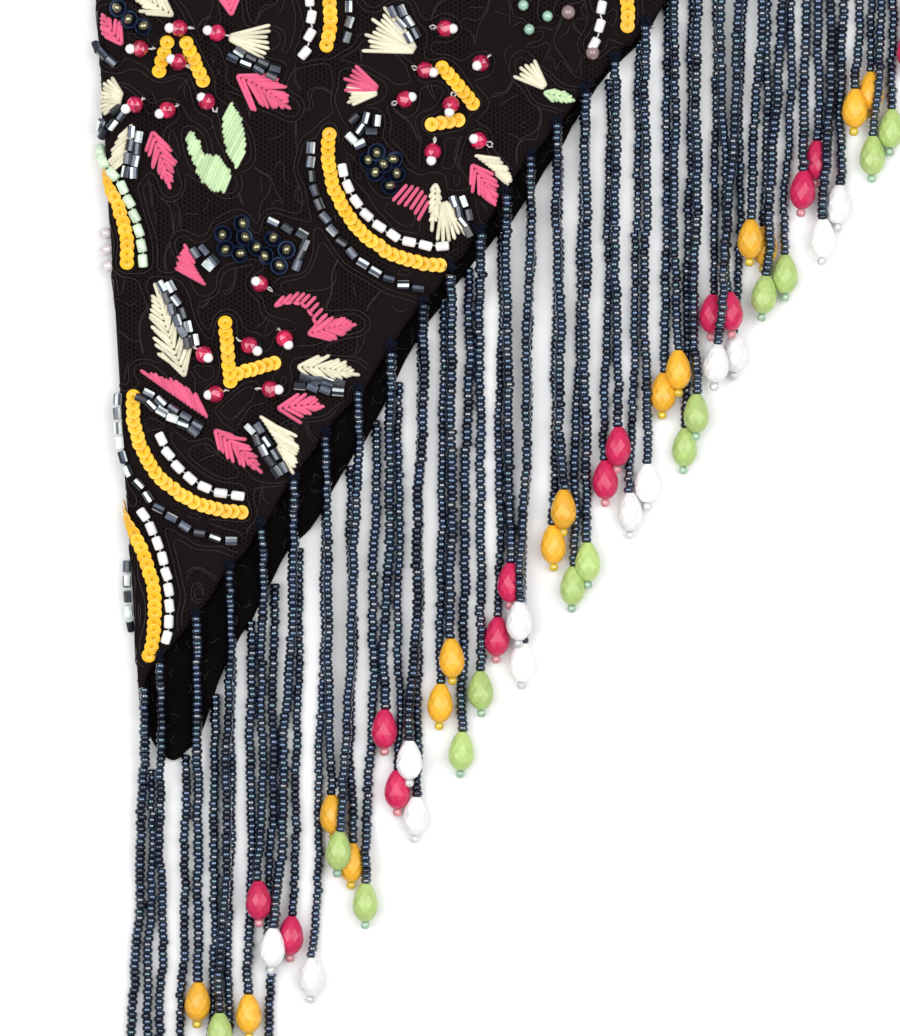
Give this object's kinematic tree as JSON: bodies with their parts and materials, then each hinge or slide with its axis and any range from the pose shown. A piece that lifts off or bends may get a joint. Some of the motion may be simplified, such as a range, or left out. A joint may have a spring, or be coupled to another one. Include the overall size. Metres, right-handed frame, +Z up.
{
  "type": "beaded triangular bandana, folded flat",
  "caption": "Triangular lace bandana with a lining and a beaded fringe, folded in two along its middle and laid flat.",
  "frame": {"origin": "middle of the folded bandana's bounding box, on the surface that it lies on", "axes": "+Z up from the surface, -Y towards the bandana's point and down its strands, the fold on the -X side"},
  "size_m": [0.2928, 0.5046, 0.0108],
  "materials": {
    "black_lace": "matte corded lace on net",
    "black_lining": "matte plain weave with a soft nap",
    "navy_beads": "glossy, dark blue with a faint lustre",
    "fringe_drops": "faceted glass drops in yellow, fuchsia, green and white",
    "yellow_sequins": "glossy flat sequins",
    "pale_beads": "white tubes, silver bugles, crystals and pearls",
    "navy_cups": "navy cup sequins held by gold beads",
    "floss": "satin stitch in pink, cream and mint floss"
  },
  "bodies": {
    "root": {"lace_face": "black_lace", "lining": "black_lining", "fringe_front": "navy_beads", "fringe_back": "navy_beads"}
  },
  "joints": []
}
